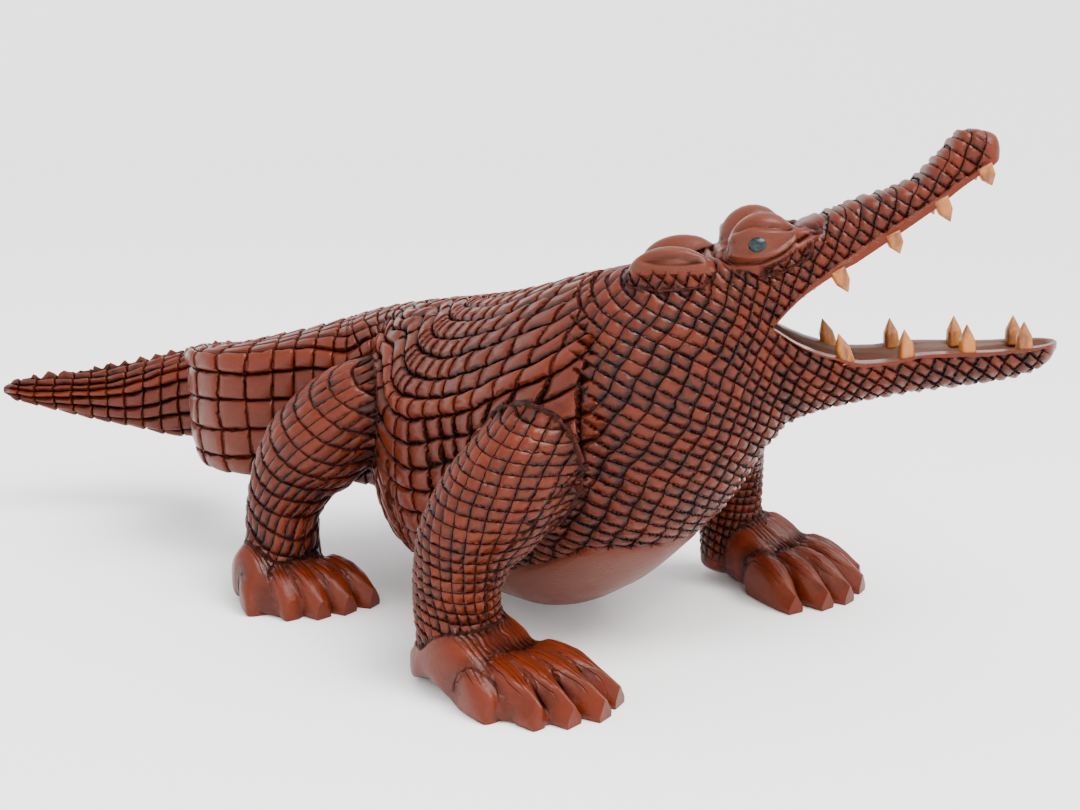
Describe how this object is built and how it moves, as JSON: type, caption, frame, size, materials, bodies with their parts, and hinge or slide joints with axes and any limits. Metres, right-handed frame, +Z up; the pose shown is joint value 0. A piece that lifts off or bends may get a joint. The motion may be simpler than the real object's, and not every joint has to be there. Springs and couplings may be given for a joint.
{
  "type": "carved wooden crocodile sculpture",
  "caption": "Crocodile carved from a block of hardwood, standing with open jaws, a swept tail, set-in teeth and inlaid eyes, its skin cut in ridges and studs.",
  "frame": {"origin": "centre of the bounding box's base, on the plane of the soles", "axes": "+X along the trunk towards the shoulders, +Y to the animal's left, +Z up"},
  "size_m": [0.5762, 0.2764, 0.2553],
  "materials": {
    "carved_hardwood": "waxed, satin",
    "tooth": "polished bone",
    "eye_shell": "polished shell"
  },
  "bodies": {
    "root": {"body": "carved_hardwood", "upper_tooth_right_1": "tooth", "upper_tooth_right_2": "tooth", "upper_tooth_right_3": "tooth", "upper_tooth_right_4": "tooth", "upper_tooth_left_1": "tooth", "upper_tooth_left_2": "tooth", "upper_tooth_left_3": "tooth", "upper_tooth_left_4": "tooth", "lower_tooth_right_1": "tooth", "lower_tooth_right_2": "tooth", "lower_tooth_right_3": "tooth", "lower_tooth_right_4": "tooth", "lower_tooth_left_1": "tooth", "lower_tooth_left_2": "tooth", "lower_tooth_left_3": "tooth", "lower_tooth_left_4": "tooth", "left_eye": "eye_shell", "right_eye": "eye_shell"}
  },
  "joints": []
}
